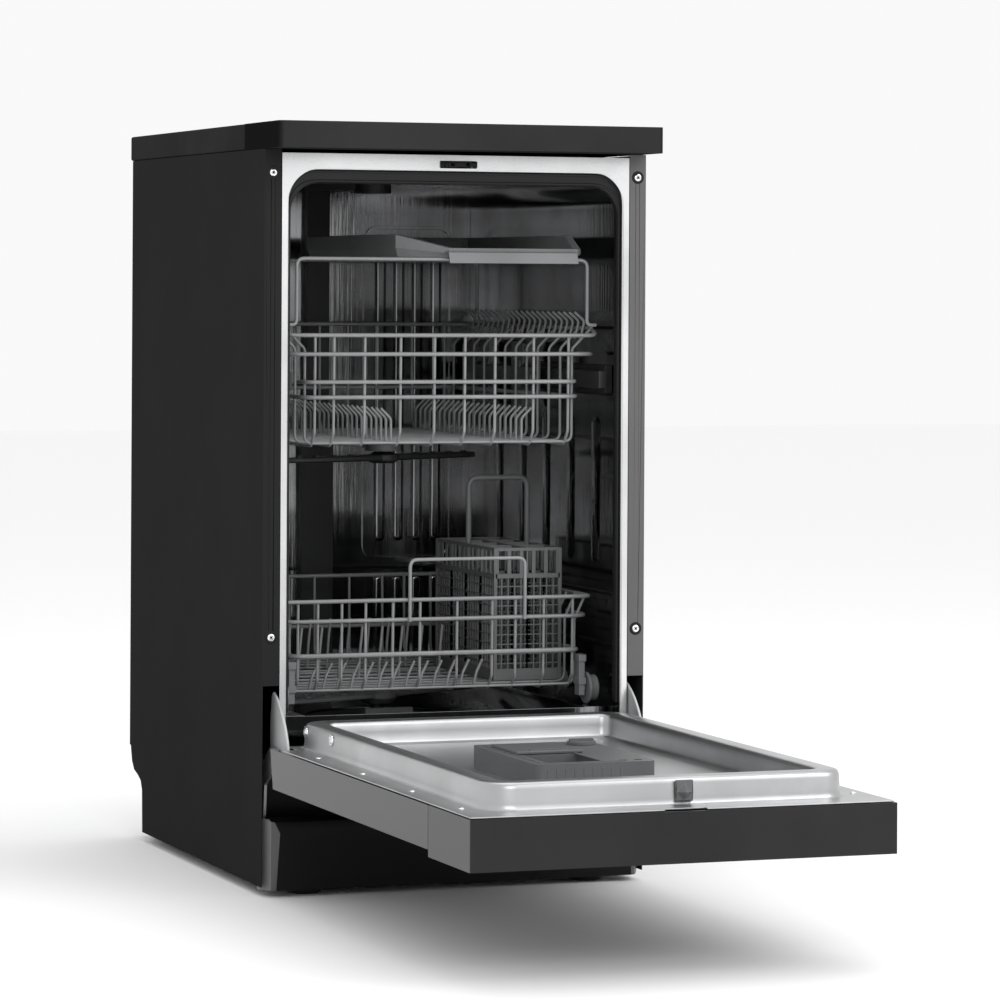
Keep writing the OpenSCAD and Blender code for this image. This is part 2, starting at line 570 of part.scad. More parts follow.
cab() side_panel_left();
cab() side_panel_right();
cab() rear_panel();
cab() worktop_board();
cab() worktop_trim();
cab() base_tray();
cab() kick_plate();
cab() levelling_feet();
cab() panel_screws();
cab() hinge_brackets();
cab() tub_wrapper();
cab() tub_rear_wall();
cab() tub_floor();
cab() tub_frame();
cab() door_seal();
cab() latch_strike();
cab() sump();
cab() filter_cup();
cab() feed_pipe();
cab() rail_guides();
cab() circulation_pump();
cab() drain_pump();
cab() water_softener();
cab() inlet_valve();
cab() cable_gland();
cab() rinse_aid_cap();
cab() lower_spray_arm();
cab() upper_spray_arm();
cab() upper_feed_duct();
cab() upper_rack_floor();
cab() upper_rack_sides();
cab() upper_rack_ends();
cab() tray_carrier();
cab() roller_plates();
cab() rollers_front_top();
cab() rollers_front_low();
cab() rollers_rear_top();
cab() rollers_rear_low();
cab() rack_rails();
cab() cutlery_tray();
cab() lower_rack_floor();
cab() lower_rack_sides();
cab() lower_rack_ends();
cab() plate_tines();
cab() wheels_1();
cab() wheels_2();
cab() wheels_3();
cab() wheels_4();
cab() cutlery_basket();
cab() door_panel();
cab() control_panel();
cab() door_liner();
cab() door_bottom_strip();
cab() hinge_arms();
cab() latch_nose();
cab() dispenser_body();
cab() dispenser_lid();
cab() power_button();
cab() program_button();
cab() start_button();
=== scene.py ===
"""Looks of a slimline dishwasher with its door open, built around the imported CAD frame."""
import json
import math

import bmesh
import bpy
from mathutils import Matrix, Vector


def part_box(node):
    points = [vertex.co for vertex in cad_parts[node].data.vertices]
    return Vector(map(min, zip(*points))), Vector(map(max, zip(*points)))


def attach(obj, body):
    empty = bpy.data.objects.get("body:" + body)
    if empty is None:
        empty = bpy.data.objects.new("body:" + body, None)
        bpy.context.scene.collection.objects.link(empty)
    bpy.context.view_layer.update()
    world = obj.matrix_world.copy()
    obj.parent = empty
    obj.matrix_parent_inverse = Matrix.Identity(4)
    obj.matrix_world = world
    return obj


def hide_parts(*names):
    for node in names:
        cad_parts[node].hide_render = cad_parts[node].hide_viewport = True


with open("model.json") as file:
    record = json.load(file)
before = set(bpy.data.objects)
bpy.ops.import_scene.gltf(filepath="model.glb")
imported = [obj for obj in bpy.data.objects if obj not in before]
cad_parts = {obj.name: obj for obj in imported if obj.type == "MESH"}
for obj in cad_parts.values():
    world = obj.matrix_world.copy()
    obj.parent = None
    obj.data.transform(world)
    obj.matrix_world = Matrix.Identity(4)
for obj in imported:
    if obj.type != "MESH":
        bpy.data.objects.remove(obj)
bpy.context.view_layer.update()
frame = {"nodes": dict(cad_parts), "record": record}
MM = 0.001
CABINET_Y = 56.5                 # mm from the frame's middle to the cabinet's front edge, along y
TUB_BACK = 520                   # mm from the cabinet's front edge to the tub's rear wall
record = frame["record"]
BODY_OF = {node: body for body, nodes in record["behaviour"]["bodies"].items() for node in nodes}
SLOT_OF = {part["node"]: part["material_slot"] for part in record["subparts"]}


# ---------------------------------------------------------------- camera and light
CAMERA_AT = Vector((-1.5678, -4.3566, 0.6714))
CAMERA_TURN = math.radians(-20.29)
CAMERA_ROLL = math.radians(0.31)


def add_camera():
    data = bpy.data.cameras.new("camera")
    data.lens = 152.26
    data.shift_x = -0.0116
    data.shift_y = -0.2176
    data.clip_end = 60
    camera = bpy.data.objects.new("camera", data)
    bpy.context.scene.collection.objects.link(camera)
    level = Matrix.Rotation(CAMERA_TURN, 4, "Z") @ Matrix.Rotation(math.pi / 2, 4, "X")
    camera.matrix_world = Matrix.Translation(CAMERA_AT) @ level @ Matrix.Rotation(CAMERA_ROLL, 4, "Z")
    bpy.context.scene.camera = camera


def add_light(name, at, target, width, height, power):
    data = bpy.data.lights.new(name, "AREA")
    data.shape = "RECTANGLE"
    data.size = width
    data.size_y = height
    data.energy = power
    light = bpy.data.objects.new(name, data)
    bpy.context.scene.collection.objects.link(light)
    light.location = at
    light.rotation_euler = (Vector(target) - Vector(at)).to_track_quat("-Z", "Y").to_euler()


def add_studio():
    world = bpy.data.worlds.new("studio")
    bpy.context.scene.world = world
    world.use_nodes = True
    sky = world.node_tree.nodes["Background"]
    sky.inputs["Color"].default_value = (1, 1, 1, 1)
    sky.inputs["Strength"].default_value = 0.95
    bpy.context.scene.view_settings.view_transform = "Standard"
    add_light("key", (2.2, -2.4, 2.4), (0, -0.1, 0.4), 2.4, 2.4, 46)
    add_light("front", (-0.6, -3.6, 1.9), (0, 0, 0.4), 1.8, 1.0, 22)
    add_light("top", (0.2, 0.1, 2.9), (0, 0, 0.4), 2.2, 2.2, 18)
    floor = bpy.data.meshes.new("floor")
    reach = 14
    corners = [(-reach, -reach, 0), (reach, -reach, 0), (reach, reach, 0), (-reach, reach, 0)]
    floor.from_pydata(corners, [], [(0, 1, 2, 3)])
    ground = bpy.data.objects.new("floor", floor)
    bpy.context.scene.collection.objects.link(ground)
    floor.materials.append(surface("floor_paint", (0.97, 0.97, 0.97), 0.9, bump=0, spread=0, rough_spread=0,
                                   shine=0.1))


# ---------------------------------------------------------------- materials
def surface(name, colour, rough, metal=0.0, grain=400, stretch=(1, 1, 1), bump=0.1, spread=0.12,
            rough_spread=0.08, coat=0.0, wear=None, side=None, shine=0.5):
    """A procedural material: noise varies its colour and roughness and raises its grain.
    wear = (colour, size) adds soft blotches; side = colour gives the faces that look along X another colour,
    partly their own finish and partly painted light and shade;
    shine scales the mirror reflection of a non-metal."""
    made = bpy.data.materials.new(name)
    made.use_nodes = True
    nodes, links = made.node_tree.nodes, made.node_tree.links
    shader = nodes["Principled BSDF"]
    shader.inputs["Metallic"].default_value = metal
    shader.inputs["Specular IOR Level"].default_value = shine
    if coat:
        shader.inputs["Coat Weight"].default_value = coat
        shader.inputs["Coat Roughness"].default_value = 0.08
    place = nodes.new("ShaderNodeTexCoord")
    scaled = nodes.new("ShaderNodeMapping")
    scaled.inputs["Scale"].default_value = stretch
    links.new(place.outputs["Object"], scaled.inputs["Vector"])
    fine = nodes.new("ShaderNodeTexNoise")
    fine.inputs["Scale"].default_value = grain
    fine.inputs["Detail"].default_value = 6
    links.new(scaled.outputs["Vector"], fine.inputs["Vector"])
    broad = nodes.new("ShaderNodeTexNoise")
    broad.inputs["Scale"].default_value = 9
    broad.inputs["Detail"].default_value = 3
    links.new(place.outputs["Object"], broad.inputs["Vector"])
    tint = nodes.new("ShaderNodeValToRGB")
    for stop, gain in ((0, 1 - spread), (1, 1 + spread)):
        tint.color_ramp.elements[stop].color = (*[min(1, c * gain) for c in colour], 1)
    tint.color_ramp.elements[0].position = 0.3
    tint.color_ramp.elements[1].position = 0.7
    links.new(broad.outputs["Fac"], tint.inputs["Fac"])
    paint = tint.outputs["Color"]
    if wear:
        paint = mixed(nodes, links, paint, wear[0], blotch(nodes, links, place, wear[1]))
    # Faces that look along X take the side colour: partly a finish and partly painted light and shade, as it
    # follows which way a face looks.
    if side:
        normal = nodes.new("ShaderNodeNewGeometry")
        parts = nodes.new("ShaderNodeSeparateXYZ")
        links.new(normal.outputs["True Normal"], parts.inputs["Vector"])
        size = nodes.new("ShaderNodeMath")
        size.operation = "ABSOLUTE"
        links.new(parts.outputs["X"], size.inputs[0])
        paint = mixed(nodes, links, paint, side, size.outputs["Value"])
    links.new(paint, shader.inputs["Base Color"])
    gloss = nodes.new("ShaderNodeMapRange")
    gloss.inputs["To Min"].default_value = max(0.02, rough - rough_spread)
    gloss.inputs["To Max"].default_value = min(1, rough + rough_spread)
    links.new(fine.outputs["Fac"], gloss.inputs["Value"])
    links.new(gloss.outputs["Result"], shader.inputs["Roughness"])
    if bump:
        relief = nodes.new("ShaderNodeBump")
        relief.inputs["Strength"].default_value = bump
        relief.inputs["Distance"].default_value = 0.0006
        links.new(fine.outputs["Fac"], relief.inputs["Height"])
        links.new(relief.outputs["Normal"], shader.inputs["Normal"])
    return made


def blotch(nodes, links, place, size):
    """A soft mask of worn or wet patches about size metres apart."""
    noise = nodes.new("ShaderNodeTexNoise")
    noise.inputs["Scale"].default_value = 1 / size
    noise.inputs["Detail"].default_value = 8
    noise.inputs["Roughness"].default_value = 0.65
    links.new(place.outputs["Object"], noise.inputs["Vector"])
    ramp = nodes.new("ShaderNodeValToRGB")
    ramp.color_ramp.elements[0].position = 0.52
    ramp.color_ramp.elements[1].position = 0.78
    links.new(noise.outputs["Fac"], ramp.inputs["Fac"])
    return ramp.outputs["Color"]


def mixed(nodes, links, base, colour, mask):
    mix = nodes.new("ShaderNodeMix")
    mix.data_type = "RGBA"
    links.new(mask, mix.inputs["Factor"])
    links.new(base, mix.inputs["A"])
    mix.inputs["B"].default_value = (*colour, 1)
    return mix.outputs["Result"]


MATERIALS = {
    "side_panels": surface("satin_black_enamel", (0.023, 0.023, 0.0235), 0.36, grain=1500, bump=0.1,
                           spread=0.04,
                           rough_spread=0.05, shine=0),
    # The right panel's front-facing faces are a lighter grey than the left panel's: a painted reflection on
    # its front return. Its faces that look along X keep the black enamel.
    "right_return_painted_reflection": surface("enamel_return_painted_reflection", (0.13, 0.13, 0.132), 0.4, grain=1500, bump=0.1, spread=0.04,
                           shine=0,
                           side=(0.023, 0.023, 0.0235)),
    "worktop": surface("worktop_black", (0.027, 0.027, 0.0275), 0.44, grain=2600, bump=0.25, spread=0.15,
                       shine=0),
    # The trim's faces that look along X are darker than its front: partly the side caps' own black and partly
    # painted shade.
    "trim": surface("trim_black", (0.03, 0.03, 0.0305), 0.3, grain=1800, bump=0.08, shine=0,
                    side=(0.009, 0.009, 0.009)),
    "galvanised": surface("galvanised", (0.42, 0.43, 0.44), 0.42, metal=0.85, grain=60, bump=0.08,
                          spread=0.25, rough_spread=0.15),
    # The kick plate's faces that look along X are much lighter than its front: painted light.
    "plinth": surface("plinth_black", (0.006, 0.006, 0.0062), 0.4, grain=1600, bump=0.12, shine=0.14,
                      side=(0.2, 0.2, 0.202)),
    "black_plastic": surface("moulded_black", (0.006, 0.006, 0.0062), 0.5, grain=2200, bump=0.2, shine=0.2),
    "screw_steel": surface("screw_steel", (0.82, 0.82, 0.83), 0.18, metal=1, grain=900, bump=0.05),
    "tub_steel": surface("tub_steel", (0.22, 0.222, 0.226), 0.1, metal=1, grain=30, stretch=(9, 9, 0.35),
                         bump=0.3, spread=0.35, rough_spread=0.06, wear=((0.12, 0.12, 0.123), 0.1)),
    "frame_steel": surface("frame_steel", (0.70, 0.705, 0.71), 0.3, metal=1, grain=160,
                           stretch=(1, 1, 30), bump=0.06, rough_spread=0.1),
    "seal_rubber": surface("seal_rubber", (0.009, 0.009, 0.009), 0.55, grain=1300, bump=0.15, shine=0.3),
    "grey_plastic": surface("grey_plastic", (0.1, 0.102, 0.105), 0.42, grain=1900, bump=0.2),
    "dark_plastic": surface("dark_plastic", (0.022, 0.0225, 0.023), 0.42, grain=1900, bump=0.2, shine=0.3),
    "rack_coating": surface("rack_coating", (0.235, 0.238, 0.243), 0.33, grain=700, bump=0.12, coat=0.25,
                            wear=((0.3, 0.3, 0.3), 0.03)),
    "wheel_plastic": surface("wheel_plastic", (0.19, 0.193, 0.198), 0.4, grain=1600, bump=0.2),
    "rail_steel": surface("rail_steel", (0.05, 0.05, 0.052), 0.3, metal=0.6, grain=300,
                          stretch=(1, 0.04, 1), bump=0.05),
    "tray_plastic": surface("tray_plastic", (0.20, 0.203, 0.207), 0.44, grain=2100, bump=0.22),
    "basket_plastic": surface("basket_plastic", (0.135, 0.137, 0.14), 0.45, grain=2100, bump=0.22),
    # The door's faces that look along X are a lighter grey than its front: partly the edges' own grey and
    # partly painted light.
    "door_skin": surface("door_skin", (0.012, 0.012, 0.0125), 0.22, grain=1400, bump=0.04, shine=0.12,
                         side=(0.08, 0.08, 0.081)),
    # The control panel's faces that look along X are a lighter grey than its front: partly the edges' own
    # grey and partly painted light.
    "panel_gloss": surface("panel_gloss", (0.02, 0.02, 0.0205), 0.2, grain=1500, bump=0.02,
                           rough_spread=0.04, shine=0.12, side=(0.065, 0.065, 0.066)),
    "liner_steel": surface("liner_steel", (0.47, 0.475, 0.48), 0.34, metal=1, grain=150,
                           stretch=(0.5, 30, 30), bump=0.04, rough_spread=0.07,
                           wear=((0.42, 0.42, 0.425), 0.1)),
    "arm_steel": surface("arm_steel", (0.52, 0.525, 0.53), 0.4, metal=0.35, grain=220, bump=0.06),
    "button_metal": surface("button_metal", (0.6, 0.6, 0.61), 0.25, metal=1, grain=500, bump=0.05),
    "softener_white": surface("softener_white", (0.62, 0.63, 0.62), 0.4, grain=1500, bump=0.1),
    "brass_end": surface("valve_white", (0.66, 0.66, 0.63), 0.4, grain=1500, bump=0.1),
    "glass_black": surface("display_glass", (0.004, 0.005, 0.006), 0.06, grain=60, bump=0.0, coat=0.8),
}


# ---------------------------------------------------------------- mesh and curve helpers
def depth_at(y):
    """Metres along y of a depth in mm behind the cabinet's front edge."""
    return (y + CABINET_Y) * MM


def finish_piece(piece, body, slot, replaced=(), material=None):
    """Links a new piece, gives it its material (the slot's, unless another is named), ties it to its body,
    and hides the CAD nodes it replaces.
    """
    if piece.name not in bpy.context.scene.collection.objects:
        bpy.context.scene.collection.objects.link(piece)
    piece.data.materials.append(MATERIALS[material or slot])
    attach(piece, body)
    if replaced:
        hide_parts(*replaced)
    return piece


def soft_edges(piece, width, segments=3, angle=32):
    """Rounds the edges without touching the mesh itself."""
    weld = piece.modifiers.new("weld", "WELD")
    weld.merge_threshold = 1e-5
    bevel = piece.modifiers.new("bevel", "BEVEL")
    bevel.width = width
    bevel.segments = segments
    bevel.limit_method = "ANGLE"
    bevel.angle_limit = math.radians(angle)
    bevel.use_clamp_overlap = True
    normal = piece.modifiers.new("normals", "WEIGHTED_NORMAL")
    normal.keep_sharp = True
    for face in piece.data.polygons:
        face.use_smooth = True


def mesh_piece(name, build, body, slot, replaced=(), edge=0.0, material=None, smooth=True):
    """build(bm) fills a bmesh, which becomes a piece."""
    bm = bmesh.new()
    build(bm)
    bmesh.ops.recalc_face_normals(bm, faces=bm.faces)
    data = bpy.data.meshes.new(name)
    bm.to_mesh(data)
    bm.free()
    piece = bpy.data.objects.new(name, data)
    bpy.context.scene.collection.objects.link(piece)
    if smooth:
        for face in data.polygons:
            face.use_smooth = True
        data.set_sharp_from_angle(angle=math.radians(34))
    if edge:
        soft_edges(piece, edge, 2)
    return finish_piece(piece, body, slot, replaced, material)


def cuboid(bm, low, high):
    made = bmesh.ops.create_cube(bm, size=1)["verts"]
    low, high = Vector(low), Vector(high)
    for vert in made:
        vert.co = Vector(l + (c + 0.5) * (h - l) for l, h, c in zip(low, high, vert.co))
    return made


def loft(bm, rings, closed_ends=(True, True)):
    """Joins rings of the same number of points, each a closed loop."""
    loops = [[bm.verts.new(point) for point in ring] for ring in rings]
    for near, far in zip(loops, loops[1:]):
        for i in range(len(near)):
            j = (i + 1) % len(near)
            bm.faces.new((near[i], near[j], far[j], far[i]))
    if closed_ends[0]:
        bm.faces.new(loops[0][::-1])
    if closed_ends[1]:
        bm.faces.new(loops[-1])
    return loops


def round_rect(x, y, r, steps=8):
    """Corner points of a rectangle with round corners, anticlockwise, as (x, y)."""
    points = []
    corners = ((x[1] - r, y[1] - r, 0), (x[0] + r, y[1] - r, 90),
               (x[0] + r, y[0] + r, 180), (x[1] - r, y[0] + r, 270))
    for cx, cy, start in corners:
        for i in range(steps + 1):
            angle = math.radians(start + 90 * i / steps)
            points.append((cx + r * math.cos(angle), cy + r * math.sin(angle)))
    return points


def lathe(bm, profile, centre, axis="X", sign=1, segments=40):
    """Turns (offset along the axis, radius) points about an axis through centre."""
    rings = []
    for along, radius in profile:
        ring = []
        for i in range(segments):
            angle = 2 * math.pi * i / segments
            u, v = max(radius, 1e-5) * math.cos(angle), max(radius, 1e-5) * math.sin(angle)
            offset = {"X": (sign * along, u, v), "Y": (u, sign * along, v), "Z": (u, v, sign * along)}[axis]
            ring.append(Vector(centre) + Vector(offset))
        rings.append(ring)
    loft(bm, rings)


def fillet(points, radius, closed=False, steps=5):
    """Rounds the corners of a polyline with arcs of about that radius."""
    points = [Vector(p) for p in points]
    count = len(points)
    out = []
    for i, point in enumerate(points):
        if not closed and i in (0, count - 1):
            out.append(point)
            continue
        before, after = points[i - 1] - point, points[(i + 1) % count] - point
        turn = before.angle(after)
        cut = min(radius / max(math.tan(turn / 2), 0.05), 0.49 * before.length, 0.49 * after.length)
        start, end = point + before.normalized() * cut, point + after.normalized() * cut
        for step in range(steps + 1):
            t = step / steps
            out.append(start * (1 - t) ** 2 + point * 2 * t * (1 - t) + end * t ** 2)
    return out


def wires(name, paths, radius, body, slot, replaced=(), material=None, sides=4):
    """Round wires along polylines. A path is (points, closed) or (points, closed, radius gain)."""
    data = bpy.data.curves.new(name, "CURVE")
    data.dimensions = "3D"
    data.bevel_depth = radius
    data.bevel_resolution = sides
    data.use_fill_caps = True
    for path in paths:
        points, closed = path[0], path[1]
        gain = path[2] if len(path) > 2 else 1
        spline = data.splines.new("POLY")
        spline.points.add(len(points) - 1)
        spline.use_smooth = True
        for target, point in zip(spline.points, points):
            target.co = (*point, 1)
            target.radius = gain
        spline.use_cyclic_u = closed
    piece = bpy.data.objects.new(name, data)
    bpy.context.scene.collection.objects.link(piece)
    return finish_piece(piece, body, slot, replaced, material)


def span(*nodes):
    """The box round several CAD nodes."""
    boxes = [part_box(node) for node in nodes]
    low = Vector(min(b[0][k] for b in boxes) for k in range(3))
    high = Vector(max(b[1][k] for b in boxes) for k in range(3))
    return low, high


def spread(a, b, count):
    return [a + (b - a) * i / (count - 1) for i in range(count)]


def bow(start, end, bulge, count=9):
    """Points of the circular arc between two points that stands out by bulge to the left of the way."""
    half = math.dist(start, end) / 2
    radius = (half ** 2 + bulge ** 2) / (2 * bulge)
    ahead = ((end[0] - start[0]) / (2 * half), (end[1] - start[1]) / (2 * half))
    reach = math.asin(half / radius)
    points = []
    for turn in spread(-reach, reach, count):
        along = half + radius * math.sin(turn)
        out = radius * (math.cos(turn) - 1) + bulge
        points.append((start[0] + ahead[0] * along - ahead[1] * out,
                       start[1] + ahead[1] * along + ahead[0] * out))
    return points


# ---------------------------------------------------------------- racks
RIM = 2.35 * MM                  # radius of the thick rim wires
THIN = 1.65 * MM                 # radius of the thin wires
UPPER_RAIL_Z = 543 * MM          # heights of the racks' lower rails
LOWER_RAIL_Z = 255 * MM


def rim_loop(x, y, z_front, z, r=26 * MM, drop=22 * MM):
    """A closed rim that dips at the front corners."""
    return fillet([(-x, y[1], z), (x, y[1], z), (x, y[0] + drop, z), (x, y[0], z_front), (-x, y[0], z_front),
                   (-x, y[0] + drop, z)], r, True, 6), True


def front_bow(x, y, z, back, r=24 * MM):
    """A wire along the front that bends back round both corners."""
    return fillet([(-x, y + back, z), (-x, y, z), (x, y, z), (x, y + back, z)], r), False


def ring_rail(x, y, z, r):
    """A level wire all round a rack."""
    return fillet([(-x, y[0], z), (-x, y[1], z), (x, y[1], z), (x, y[0], z)], r, True), True


def hoop(x, wall, at, z, bend, top, r):
    """A wire down one side of a rack, across its floor and up the other side."""
    return fillet([(-x + 1 * MM, at, top + 1 * MM), (-wall, at, bend), (-wall, at, z),
                   (wall, at, z), (wall, at, bend), (x - 1 * MM, at, top + 1 * MM)], r), False


def run(x, y, z, front_top, back_top, turn, r):
    """A wire down the front of a rack, along its floor and up the back."""
    return fillet([(x, y[0] + RIM, front_top), (x, y[0] + 4 * MM, z + 12 * MM), (x, y[0] + turn, z - 3 * MM),
                   (x, y[1] - turn, z - 3 * MM), (x, y[1] - 4 * MM, z + 12 * MM), (x, y[1] - RIM, back_top)],
                   r), False


def upper_rack():
    low, high = span("upper_rack_sides", "upper_rack_ends")
    floor_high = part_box("upper_rack_floor")[1]
    x, wall = high.x - RIM, floor_high.x - THIN
    y = (low.y + RIM, high.y - RIM)
    z = floor_high.z - THIN
    top, bend = high.z - RIM, high.z - 22 * MM
    rails = [rim_loop(x, y, top - 8 * MM, top),
             front_bow(x - 1 * MM, y[0], top - 29 * MM, 60 * MM),
             front_bow(wall + 2 * MM, y[0], top - 60 * MM, 30 * MM),
             ring_rail(wall + 4 * MM, y, UPPER_RAIL_Z, 18 * MM)]
    wires("upper_rack_rims", rails, RIM, "upper_rack", "rack_coating", ("upper_rack_ends",))
    hoops = []
    for at in spread(y[0] + 14 * MM, y[1] - 14 * MM, 12):
        hoops.append(hoop(x, wall, at, z, bend - 4 * MM, top, 9 * MM))
    wires("upper_rack_hoops", hoops, THIN, "upper_rack", "rack_coating", ("upper_rack_sides",))
    runs = []
    for at in (-150, -128, -92, -50, -10, 26, 62, 108, 150):
        runs.append(run(at * MM, y, z, top - 9 * MM, top - 2 * MM, 16 * MM, 7 * MM))
    wires("upper_rack_runs", runs, THIN, "upper_rack", "rack_coating", ("upper_rack_floor",))
    spikes = []
    for at in spread(y[0] + 30 * MM, y[1] - 30 * MM, 22):
        for side, foot in ((1, 104 * MM), (-1, -52 * MM)):
            tip = foot + side * 12 * MM
            bent = [(foot, at, z - 2 * MM), (foot, at, z + 26 * MM), (tip, at, z + 38 * MM)]
            spikes.append((fillet(bent, 8 * MM), False))
        spikes.append((fillet([(x - 9 * MM, at, top - 12 * MM), (x - 4 * MM, at, top + 8 * MM),
                               (x - 16 * MM, at, top + 18 * MM)], 6 * MM), False))
    wires("upper_rack_spikes", spikes, THIN * 0.92, "upper_rack", "rack_coating")


def tray_carrier():
    low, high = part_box("tray_carrier")
    r = 2 * MM
    x, rim = 172 * MM, high.x - r
    portals = []
    for y in (low.y + r, high.y - r):
        portals.append((fillet([(-rim, y, low.z + r), (-x, y, low.z + r), (-x, y, high.z - r),
                                (x, y, high.z - r),
                                (x, y, low.z + r), (rim, y, low.z + r)], 9 * MM), False))
    wires("tray_carrier_wires", portals, r, "upper_rack", "rack_coating", ("tray_carrier",))


def lower_rack():
    low, high = span("lower_rack_sides", "lower_rack_ends")
    floor_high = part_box("lower_rack_floor")[1]
    side_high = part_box("lower_rack_sides")[1]
    x, wall = 184 * MM, floor_high.x - THIN
    y = (low.y + RIM + 3 * MM, side_high.y - RIM)
    z = floor_high.z - THIN
    top, bend = side_high.z - RIM, side_high.z - 30 * MM
    rails = [rim_loop(x, y, top, top),
             front_bow(x - 2 * MM, y[0], top - 22 * MM, 70 * MM),
             front_bow(wall + 1 * MM, y[0], top - 60 * MM, 40 * MM),
             ring_rail(wall + 3 * MM, y, LOWER_RAIL_Z, 20 * MM)]
    wires("lower_rack_rims", rails, RIM, "lower_rack", "rack_coating", ("lower_rack_ends",))
    hoops = []
    for at in (14, 44, 72, 100, 136, 176, 214, 240, 282, 320, 352, 386):
        depth = y[0] + at * MM
        hoops.append(hoop(x, wall, depth, z, bend, top, 11 * MM))
    wires("lower_rack_hoops", hoops, THIN, "lower_rack", "rack_coating")
    runs = []
    for at in (-163, -140, -112, -84, -52, -20, 24, 66, 94, 128, 163):
        runs.append(run(at * MM, y, z, top, top, 18 * MM, 8 * MM))
    grip_y = y[0] - RIM - 1 * MM
    runs.append((fillet([(-34 * MM, grip_y, top - 24 * MM), (-34 * MM, grip_y, high.z - THIN),
                         (103 * MM, grip_y, high.z - THIN), (103 * MM, grip_y, top - 24 * MM)], 9 * MM),
                         False, 1.25))
    wires("lower_rack_runs", runs, THIN, "lower_rack", "rack_coating", ("lower_rack_floor",))
    tine_low, tine_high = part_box("plate_tines")
    tines = []
    for row, at in enumerate((tine_low.y + THIN, depth_at(215), tine_high.y - THIN)):
        height = (28 if row == 0 else 58) * MM
        for across in spread(tine_low.x + 2 * MM, tine_high.x - 2 * MM, 9 if row else 13):
            lean = 11 * MM if row == 0 else 5 * MM
            tines.append((fillet([(across, at, z), (across + lean * 0.3, at, z + height * 0.5),
                                  (across + lean, at + 2 * MM, z + height)], 10 * MM), False))
    wires("plate_tine_wires", tines, THIN, "lower_rack", "rack_coating", ("plate_tines",))
    brackets()


def brackets():
    """Moulded clips that carry the lower wheels."""
    wheel_nodes = [f"wheels_{i}" for i in (1, 2, 3, 4)]

    def build(bm):
        for node in wheel_nodes:
            low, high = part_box(node)
            y, z = (low.y + high.y) / 2, (low.z + high.z) / 2
            for side in (-1, 1):
                def at(a, b):
                    return sorted((side * a * MM, side * b * MM))
                x = at(168.5, 175.5)
                cuboid(bm, (x[0], y - 7 * MM, z - 8 * MM), (x[1], y + 7 * MM, 247 * MM))
                x = at(167.5, 176.5)
                for h in (216, 242):
                    cuboid(bm, (x[0], y - 9 * MM, h * MM), (x[1], y + 9 * MM, (h + 8) * MM))
                lathe(bm, [(170 * MM, 5.5 * MM), (177 * MM, 5.5 * MM), (177 * MM, 3 * MM), (190 * MM, 3 * MM),
                           (190.4 * MM, 2.4 * MM)], (0, y, z), "X", side, 24)

    mesh_piece("lower_wheel_clips", build, "lower_rack", "wheel_plastic", ("lower_rack_sides",),
               edge=0.7 * MM)


def spoked_wheels(node, disc, drum, radii, spokes):
    """Both wheels of an axle line: disc = (inner x, outer x), drum = outer x, radii = (disc, drum) in mm."""
    low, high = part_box(node)
    y, z = (low.y + high.y) / 2, (low.z + high.z) / 2

    def build(bm):
        big, small = radii
        cup = disc[1] + 1.2
        outline = [(disc[0], 3.06), (disc[0], big - 0.8), (disc[0] + 0.8, big), (disc[1] - 0.8, big),
                   (disc[1], big - 0.8), (disc[1], small + 0.4), (disc[1] + 0.6, small), (drum - 0.7, small),
                   (drum, small - 0.7), (drum, small - 1.7), (cup, small - 2.2), (cup, 4.8),
                   (drum - 2.4, 4.4),
                   (drum - 2.4, 3.06)]
        for side in (-1, 1):
            lathe_ring(bm, [(a * MM, r * MM) for a, r in outline], (0, y, z), side)
            for i in range(spokes):
                angle = 2 * math.pi * (i + 0.25) / spokes
                made = cuboid(bm, (cup * MM, 4 * MM, -0.5 * MM),
                              ((drum - 1.8) * MM, (small - 1.6) * MM, 0.5 * MM))
                turn = Matrix.Rotation(angle, 4, "X")
                for vert in made:
                    vert.co = turn @ vert.co
                    vert.co.x *= side
                    vert.co += Vector((0, y, z))

    mesh_piece(node + "_moulded", build, BODY_OF[node], SLOT_OF[node], (node,))


def lathe_ring(bm, outline, centre, sign, segments=44):
    """A closed (along X, radius) outline turned into a ring."""
    loops = []
    for i in range(segments):
        angle = 2 * math.pi * i / segments
        loops.append([bm.verts.new(Vector(centre) + Vector((sign * a, r * math.cos(angle),
                                                            r * math.sin(angle))))
                      for a, r in outline])
    for i, near in enumerate(loops):
        far = loops[(i + 1) % segments]
        for k in range(len(outline)):
            j = (k + 1) % len(outline)
            bm.faces.new((near[k], near[j], far[j], far[k]))


